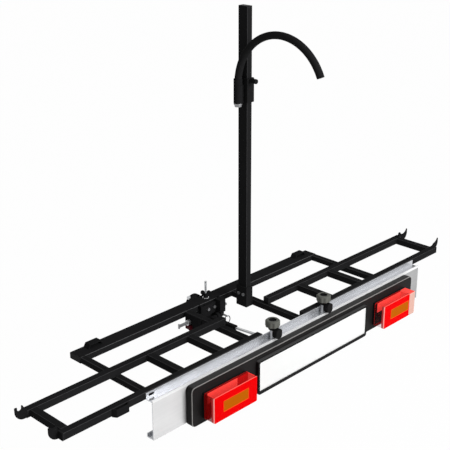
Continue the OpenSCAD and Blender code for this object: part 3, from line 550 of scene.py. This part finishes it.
# Glowing pink for the top's front lip and the far end's inside: painted light in the lens.
red_glowing_lip = acrylic("red_glowing_lip", (0.98, 0.13, 0.112), (0.92, 0.11, 0.095), 1.0, 0.2, 0.3)
# Inner back wall: a pink reflector and a darker stretch in the lamp's own colours, both given a painted
# glow.
red_glowing_inner = acrylic("red_glowing_inner", (0.98, 0.08, 0.067), (0.92, 0.07, 0.058), 1.0, 0.3, 0.45)
red_glowing_gap = acrylic("red_glowing_gap", (0.42, 0.0015, 0.004), (0.36, 0.001, 0.003), 1.0, 0.3, 0.45)
# Pink-white and darker pink for the side strips next to the lens's front: a painted highlight and its
# fading painted half light.
red_rim_highlight = acrylic("red_rim_highlight", (0.98, 0.4, 0.37), (0.92, 0.32, 0.3), 1.0, 0.2, 0.3)
red_side_half_light = acrylic("red_side_half_light", (0.6, 0.06, 0.055), (0.5, 0.04, 0.036), 1.0, 0.2, 0.2)
# Dark, half-clear red for the left lamp's near end: partly painted shade on the end facing away from the
# key lamp.
red_shaded_end = acrylic("red_shaded_end", (0.5, 0.004, 0.004), (0.42, 0.003, 0.003), 0.6, 0.1)
red_dim = acrylic("red_dim", (0.4, 0.003, 0.003), (0.3, 0.002, 0.002), 0.04, 0.1)


lens_wall = 0.002
lens_corner = 0.005
lens_edge = 0.0022


def open_shell(name, low, high):
    """A moulded hollow box without a back, its corners and front edges rounded."""
    shell = block(name, low, high)
    pick_faces(shell, lambda middle, normal: normal.y > square_on)
    bpy.ops.mesh.delete(type="FACE")
    bpy.ops.object.mode_set(mode="OBJECT")
    round_edges(shell, lens_corner, 5, lambda a, b: abs(a.y - b.y) > 0.01)
    round_edges(shell, lens_edge, 3, lambda a, b: max(a.y, b.y) < low.y + 0.0001)
    wall = shell.modifiers.new("wall", "SOLIDIFY")
    wall.thickness = lens_wall
    wall.offset = -1.0
    take(shell)
    bpy.ops.object.modifier_apply(modifier=wall.name)
    return shell


strip_height = 0.036


def lens(node, end_paint, gap):
    """Moulded lens with clear top and ends, whose inner back wall shows a darker stretch."""
    low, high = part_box(node)
    highlight_y = low.y + 0.004
    half_light_y = low.y + 0.0105
    shell = open_shell(node + "_shell", low, high)
    cut_across(shell, (0.0, highlight_y, 0.0), (0.0, 1.0, 0.0))
    cut_across(shell, (0.0, half_light_y, 0.0), (0.0, 1.0, 0.0))
    smooth_shade(shell)
    for finish in (red_face, red_top, red_rim_highlight, red_side_half_light, end_paint, red_glowing_lip):
        shell.data.materials.append(finish)
    # Faces by place: the front in red; the side strips by the front in a painted highlight fading into
    # painted half light; the far end's inside and the top's front lip in a glowing pink of painted light;
    # the near end in the end finish given.
    for face in shell.data.polygons:
        across = abs(face.normal.x)
        upward = abs(face.normal.z)
        middle = face.center
        if abs(face.normal.y) > 0.95:
            face.material_index = 0
        elif across > upward and middle.y < highlight_y:
            face.material_index = 2
        elif across > upward and middle.y < half_light_y:
            face.material_index = 3
        elif across > upward:
            face.material_index = 4 if middle.x < (low.x + high.x) / 2 else 5
        else:
            face.material_index = 5 if middle.y < low.y + lens_edge else 1
    near = Vector((low.x + 0.01, high.y - 0.0045, high.z - strip_height))
    far = Vector((high.x - lens_edge, high.y - 0.0025, high.z - lens_edge))
    inner = block(node + "_inner", near, far)
    gap_x0, gap_x1 = (low.x + share * (high.x - low.x) for share in gap)
    for x in (gap_x0, gap_x1):
        cut_across(inner, (x, 0.0, 0.0), (1.0, 0.0, 0.0))
    round_edges(inner, 0.0004, 2, lambda a, b: abs(a.x - b.x) > 0.002)
    inner.data.materials.append(red_glowing_inner)
    inner.data.materials.append(red_glowing_gap)
    for face in inner.data.polygons:
        face.material_index = 1 if gap_x0 < face.center.x < gap_x1 else 0
    smooth_shade(inner)
    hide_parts(node)
    stand_with(shell, node)
    stand_with(inner, node)


lens("left_lamp_lens", red_shaded_end, (0.737, 0.99))
lens("right_lamp_lens", red_dim, (0.975, 0.98))


# Amber windows: ribbed orange prisms let into the red faces, one in each lamp.
# Upright ribs spread the light of the turn signal, inside a plain bright border.
paint, shader, place = start_finish("amber_prism")
ribs = place.node("TexWave", {"bands_direction": "X"}, {"Vector": place, "Scale": 120.0})
between(ribs, (0.47, 0.1, 0.0012), (0.58, 0.135, 0.0018)).into(shader, "Base Color")
(0.25 + 0.15 * ribs).into(shader, "Roughness")
shader.inputs["Specular IOR Level"].default_value = 0.006
dented(ribs, 0.0005, 0.15, shader)
amber_prism = paint
amber_border = acrylic("amber_border", (0.98, 0.085, 0.012), (0.92, 0.07, 0.01), 1.0, 0.15)
amber_low, amber_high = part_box("lamp_ambers")
lens_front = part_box("left_lamp_lens")[0].y
amber_length = 0.104
windows = []
for shift in (0.0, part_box("right_lamp_base")[0].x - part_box("left_lamp_base")[0].x):
    near = Vector((amber_low.x + shift, lens_front - 0.0005, amber_low.z))
    far = Vector((amber_low.x + shift + amber_length, lens_front + 0.0015, amber_high.z))
    window = block("window", near, far)
    round_edges(window, 0.003, 3, lambda a, b: abs(a.y - b.y) > 0.001)
    window.data.materials.append(amber_border)
    window.data.materials.append(amber_prism)
    pick_faces(window, lambda middle, normal: normal.y < -square_on)
    bpy.ops.mesh.inset(thickness=0.002, depth=0.0)
    bpy.ops.mesh.inset(thickness=0.0004, depth=-0.0004)
    window.active_material_index = 1
    bpy.ops.object.material_slot_assign()
    bpy.ops.object.mode_set(mode="OBJECT")
    windows.append(window)
ambers = joined(windows, "amber_windows")
smooth_shade(ambers, 25.0)
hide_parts("lamp_ambers")
stand_with(ambers, "lamp_ambers")


# Clear section: the reversing light at the right lamp's outer end.
# Colourless acrylic with fine upright ribs; its pink is a painted reflection of the red lens beside it.
paint, shader, place = start_finish("clear_ribbed")
ribs = place.node("TexWave", {"bands_direction": "X"}, {"Vector": place, "Scale": 90.0})
between(ribs, (0.7, 0.41, 0.34), (0.82, 0.51, 0.43)).into(shader, "Base Color")
(0.12 + 0.1 * ribs).into(shader, "Roughness")
shader.inputs["Specular IOR Level"].default_value = 0.02
dented(ribs, 0.0005, 0.3, shader)
clear_low, clear_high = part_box("right_lamp_clear")
clear = open_shell("clear_shell", clear_low, clear_high)
smooth_shade(clear)
hold(clear, "right_lamp_clear", paint)
# Top faces of the clear section take the lens's glowing pink: painted light.
clear.data.materials.append(red_glowing_inner)
for face in clear.data.polygons:
    if face.normal.z > 0.6 and face.center.z > clear_high.z - 0.006:
        face.material_index = 1


# Board hooks and star knobs: studs in the carrier's trough, spacer bushes, moulded hooks over the board
# and nine-lobed knobs that clamp them. Black studs and hooks, zinc-plated bushes, grey-green knobs.
def zinc(name, dark, light, gloss):
    """Bright zinc plating with a soft spangle and fine handling marks."""
    paint, shader, place = start_finish(name)
    spangle = place.node("TexVoronoi", {"feature": "SMOOTH_F1"}, {"Vector": place, "Scale": 240.0})
    haze = noise(place, 60.0, 5.0)
    between(0.4 * spangle + 0.6 * haze, dark, light).into(shader, "Base Color")
    (gloss + 0.2 * haze).into(shader, "Roughness")
    shader.inputs["Metallic"].default_value = 0.9
    dented(haze, 0.0002, 0.15, shader)
    return paint


zinc_bright = zinc("zinc_bright", (0.42, 0.43, 0.44), (0.68, 0.69, 0.7), 0.22)
zinc_dull = zinc("zinc_dull", (0.2, 0.2, 0.21), (0.36, 0.365, 0.37), 0.34)
eased("knob_studs", 0.0008, cap_plastic)
eased("knob_spacers", 0.0006, zinc_bright)
eased("board_hooks", 0.0012, cap_plastic)
knob_plastic = moulded_plastic("knob_plastic", (0.1, 0.102, 0.09), (0.18, 0.184, 0.166), 650.0, 0.42, 0.06)
dish_radius = 0.0122
for node in ("left_star_knob", "right_star_knob"):
    knob = eased(node, 0.0009, knob_plastic)
    knob.data.materials.append(cap_plastic)
    low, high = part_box(node)
    axis = (low + high) / 2
    for face in knob.data.polygons:
        if (face.center - axis).xy.length < dish_radius and face.center.z < high.z - 0.0005:
            face.material_index = 1


# Coupling: a steel cup that sits on the tow ball, with side plates, a bolted front plate and a back plate.
# Thick plate, flame-cut, welded and bolted together under the middle of the beam and painted black.
for node in ("ball_cup", "coupling_cheeks", "front_plate"):
    eased(node, 0.0008, fitting_paint)
eased("back_plate", 0.001, fitting_paint)
eased("coupling_bolts", 0.0005, zinc_dull)
eased("back_plate_bolt", 0.0008, zinc_bright)


# Clamp: a jaw on a cross shaft closes on the ball when the long lever is swung up.
# Zinc-plated lever bar, with a black shaft and black cut plates for the jaw and the lever.
eased("cross_shaft", 0.0008, fitting_paint)
eased("clamp_jaw", 0.0006, fitting_paint)
eased("clamp_lever", 0.0012, fitting_paint)
eased("lever_bar", 0.0012, zinc_bright)


# Clamp rod: a threaded rod through the beam with a washer and a cast wing nut on it.
# Rolled thread in bright zinc, and the wing nut's cast ears are painted black.
def threaded(name, radius, pitch, length):
    """Threaded bar that stands on the origin, with its thread wound round the upright axis."""
    turns = int(length / pitch)
    bpy.ops.object.select_all(action="DESELECT")
    bpy.ops.mesh.primitive_plane_add(size=0.001, location=(0.0, 0.0, 0.0))
    bar = bpy.context.object
    bar.name = name
    bpy.ops.object.mode_set(mode="EDIT")
    bpy.ops.mesh.select_mode(type="VERT")
    bpy.ops.mesh.select_all(action="SELECT")
    bpy.ops.mesh.merge(type="CENTER")
    depth = 0.6 * pitch
    bpy.ops.transform.translate(value=(radius - depth, 0.0, 0.0))
    slope = 0.44 * pitch
    crest = 0.12 * pitch
    for _ in range(turns):
        for step in ((depth, 0.0, slope), (0.0, 0.0, crest), (-depth, 0.0, slope)):
            bpy.ops.mesh.extrude_region_move(TRANSFORM_OT_translate={"value": step})
    bpy.ops.object.mode_set(mode="OBJECT")
    wind = bar.modifiers.new("wind", "SCREW")
    wind.screw_offset = pitch
    wind.steps = 28
    wind.render_steps = 28
    wind.use_merge_vertices = True
    wind.merge_threshold = 0.00001
    bpy.ops.object.modifier_apply(modifier=wind.name)
    bpy.ops.object.mode_set(mode="EDIT")
    bpy.ops.mesh.select_all(action="SELECT")
    bpy.ops.mesh.remove_doubles(threshold=0.00001)
    bpy.ops.mesh.fill_holes(sides=0)
    bpy.ops.mesh.select_all(action="SELECT")
    bpy.ops.mesh.normals_make_consistent(inside=False)
    bpy.ops.object.mode_set(mode="OBJECT")
    return bar


washer_zinc = zinc("washer_zinc", (0.8, 0.81, 0.82), (0.94, 0.945, 0.95), 0.2)
rod_low, rod_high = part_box("clamp_rod")
rod = threaded("clamp_rod_thread", 0.004, 0.00125, rod_high.z - rod_low.z - 0.002)
rod.data.transform(Matrix.Translation((0.0, 0.0, rod_low.z)))
smooth_shade(rod, 30.0)
hold(rod, "clamp_rod", zinc_bright)
eased("rod_washer", 0.0004, washer_zinc)
eased("wing_nut", 0.0012, fitting_paint)


# T-handle screw: a threaded bar through a plated bush that jacks the lever's tab, with a sliding cross bar.
# It turns in a bracket welded to the inner tube, above a dark red stop block of plastic.
eased("screw_bracket", 0.0008, fitting_paint)
eased("screw_bush", 0.0007, zinc_bright)
handle_low, handle_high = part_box("t_handle_screw")
handle_y = (handle_low.y + handle_high.y) / 2
handle_z = (handle_low.z + handle_high.z) / 2
handle_x = handle_low.x + 0.003
screw = threaded("t_handle_thread", 0.005, 0.0015, handle_high.x - handle_x - 0.002)
screw.data.transform(Matrix.Translation((handle_x, handle_y, handle_z)) @ along_x)
smooth_shade(screw, 30.0)
bpy.ops.object.select_all(action="DESELECT")
bpy.ops.mesh.primitive_cylinder_add(
    vertices=32, radius=0.003, depth=handle_high.z - handle_low.z, location=(handle_x, handle_y, handle_z)
)
cross_bar = bpy.context.object
bpy.ops.object.transform_apply(location=True, rotation=True, scale=True)
round_edges(cross_bar, 0.0011, 3, lambda a, b: abs(a.z - b.z) < 0.001)
smooth_shade(cross_bar)
t_handle = joined([screw, cross_bar], "t_handle_turned")
hold(t_handle, "t_handle_screw", zinc_dull)
block_plastic = moulded_plastic("block_plastic", (0.05, 0.003, 0.007), (0.09, 0.006, 0.012), 600.0, 0.4)
eased("stop_block", 0.0015, block_plastic)


# Pull pin: a locking pin in the near side of the ball cup, with a wire ring to draw it.
# Turned zinc-plated steel with a collar, and the ring is black coated wire.
eased("pull_pin", 0.0005, zinc_bright)
eased("pull_ring", 0.0002, fitting_paint)


# Mast: an upright flat tube that stands in a welded socket, held by two bolts, with a moulded cap on top.
# Same powder coat as the frame, and the bolts' heads show on the socket's left face.
mast_paint = powder_coat("mast_powder_coat", (0.0125, 0.0125, 0.013), (0.0235, 0.0235, 0.0245), 0.48)
eased("mast_socket", 0.0012, mast_paint)
# The mast's rounded long edges get the tubes' lighter coat, a painted highlight.
eased("mast", tube_corner, mast_paint, longer_than=long_edge, steps=4, highlight_finish=tube_painted_highlight)
eased("mast_bolts", 0.0005, zinc_dull)
eased("mast_cap", 0.001, cap_plastic)


# Arm: a bent round tube that swings over the motorcycle, on a spigot in the collar's bushing.
# The collar slides on the mast, a round-headed screw clamps it, and a cap closes the tube's free end.
eased("arm_collar", 0.0012, fitting_paint)
eased("clamp_screw", 0.0012, fitting_paint)
eased("arm", 0.0006, mast_paint)
eased("arm_spigot", 0.0006, fitting_paint)
eased("arm_nut", 0.0006, zinc_dull)
eased("arm_cap", 0.0012, cap_plastic)


# Studio: a plain pale floor under the hanging carrier, soft lamps and the photograph's camera.
# The tow ball stands about 385 mm above the road, so the floor lies that far below it.
floor_z = -0.385
bpy.ops.object.select_all(action="DESELECT")
bpy.ops.mesh.primitive_plane_add(size=60.0, location=(0.0, 0.0, floor_z))
floor = bpy.context.object
floor.name = "studio_floor"
bpy.ops.object.transform_apply(location=True, rotation=True, scale=True)
paint = bpy.data.materials.new("studio_floor_paint")
paint.use_nodes = True
tree = paint.node_tree
tree.nodes.clear()
end = tree.nodes.new("ShaderNodeOutputMaterial")


def background_rays(tree):
    """1 for rays that show the background: from the camera, off gloss or through clear material."""
    path = tree.nodes.new("ShaderNodeLightPath")
    camera_rays, glossy_rays, clear_rays = (
        Wire(tree, path.outputs[name]) for name in ("Is Camera Ray", "Is Glossy Ray", "Is Transmission Ray")
    )
    return camera_rays + glossy_rays + clear_rays


seen = background_rays(tree)
matt = seen.node("BsdfDiffuse", {}, {"Color": (0.85, 0.85, 0.85, 1.0)})
white = seen.node("Emission", {}, {"Color": (1.0, 1.0, 1.0, 1.0), "Strength": 1.0})
mixed = seen.node("MixShader", {}, {0: 0.985 * seen, 1: matt, 2: white})
tree.links.new(mixed.socket, end.inputs[0])
floor.data.materials.append(paint)

world = bpy.data.worlds.new("studio_world")
world.use_nodes = True
bpy.context.scene.world = world
tree = world.node_tree
tree.nodes.clear()
end = tree.nodes.new("ShaderNodeOutputWorld")
seen = background_rays(tree)
fill_light = 0.26
strength = fill_light + (1.0 - fill_light) * seen
sky = seen.node("Background", {}, {"Color": (1.0, 1.0, 1.0, 1.0), "Strength": strength})
tree.links.new(sky.socket, end.inputs[0])


def soft_lamp(name, place, aim, size, watts):
    """A square soft lamp that points at a place."""
    data = bpy.data.lights.new(name, "AREA")
    data.size = size
    data.energy = watts
    lamp = bpy.data.objects.new(name, data)
    bpy.context.scene.collection.objects.link(lamp)
    lamp.location = place
    lamp.rotation_euler = (Vector(aim) - Vector(place)).to_track_quat("-Z", "Y").to_euler()


carrier_middle = (0.0, -0.2, 0.2)
soft_lamp("key_lamp", (0.7, -3.6, 1.7), carrier_middle, 2.0, 110.0)
soft_lamp("top_lamp", (-0.6, -0.4, 3.4), carrier_middle, 2.6, 8.0)
soft_lamp("side_lamp", (-3.2, -1.2, 1.8), carrier_middle, 1.8, 2.0)

eye = Vector((-2.0683, -2.1139, 1.4581))
right = Vector((0.6992, -0.7149, 0.0))
up = Vector((0.2589, 0.2532, 0.9321))
tilt = math.radians(-0.26)
view_right = (math.cos(tilt) * right + math.sin(tilt) * up).normalized()
view_up = (math.cos(tilt) * up - math.sin(tilt) * right).normalized()
view_back = view_right.cross(view_up)
lens_data = bpy.data.cameras.new("photo_camera")
lens_data.lens = 78.78
lens_data.sensor_width = 36.0
lens_data.clip_start = 0.05
lens_data.clip_end = 100.0
camera = bpy.data.objects.new("photo_camera", lens_data)
bpy.context.scene.collection.objects.link(camera)
turn = Matrix((view_right, view_up, view_back)).transposed().to_4x4()
camera.matrix_world = Matrix.Translation(eye) @ turn
bpy.context.scene.camera = camera
bpy.context.scene.view_settings.view_transform = "Standard"
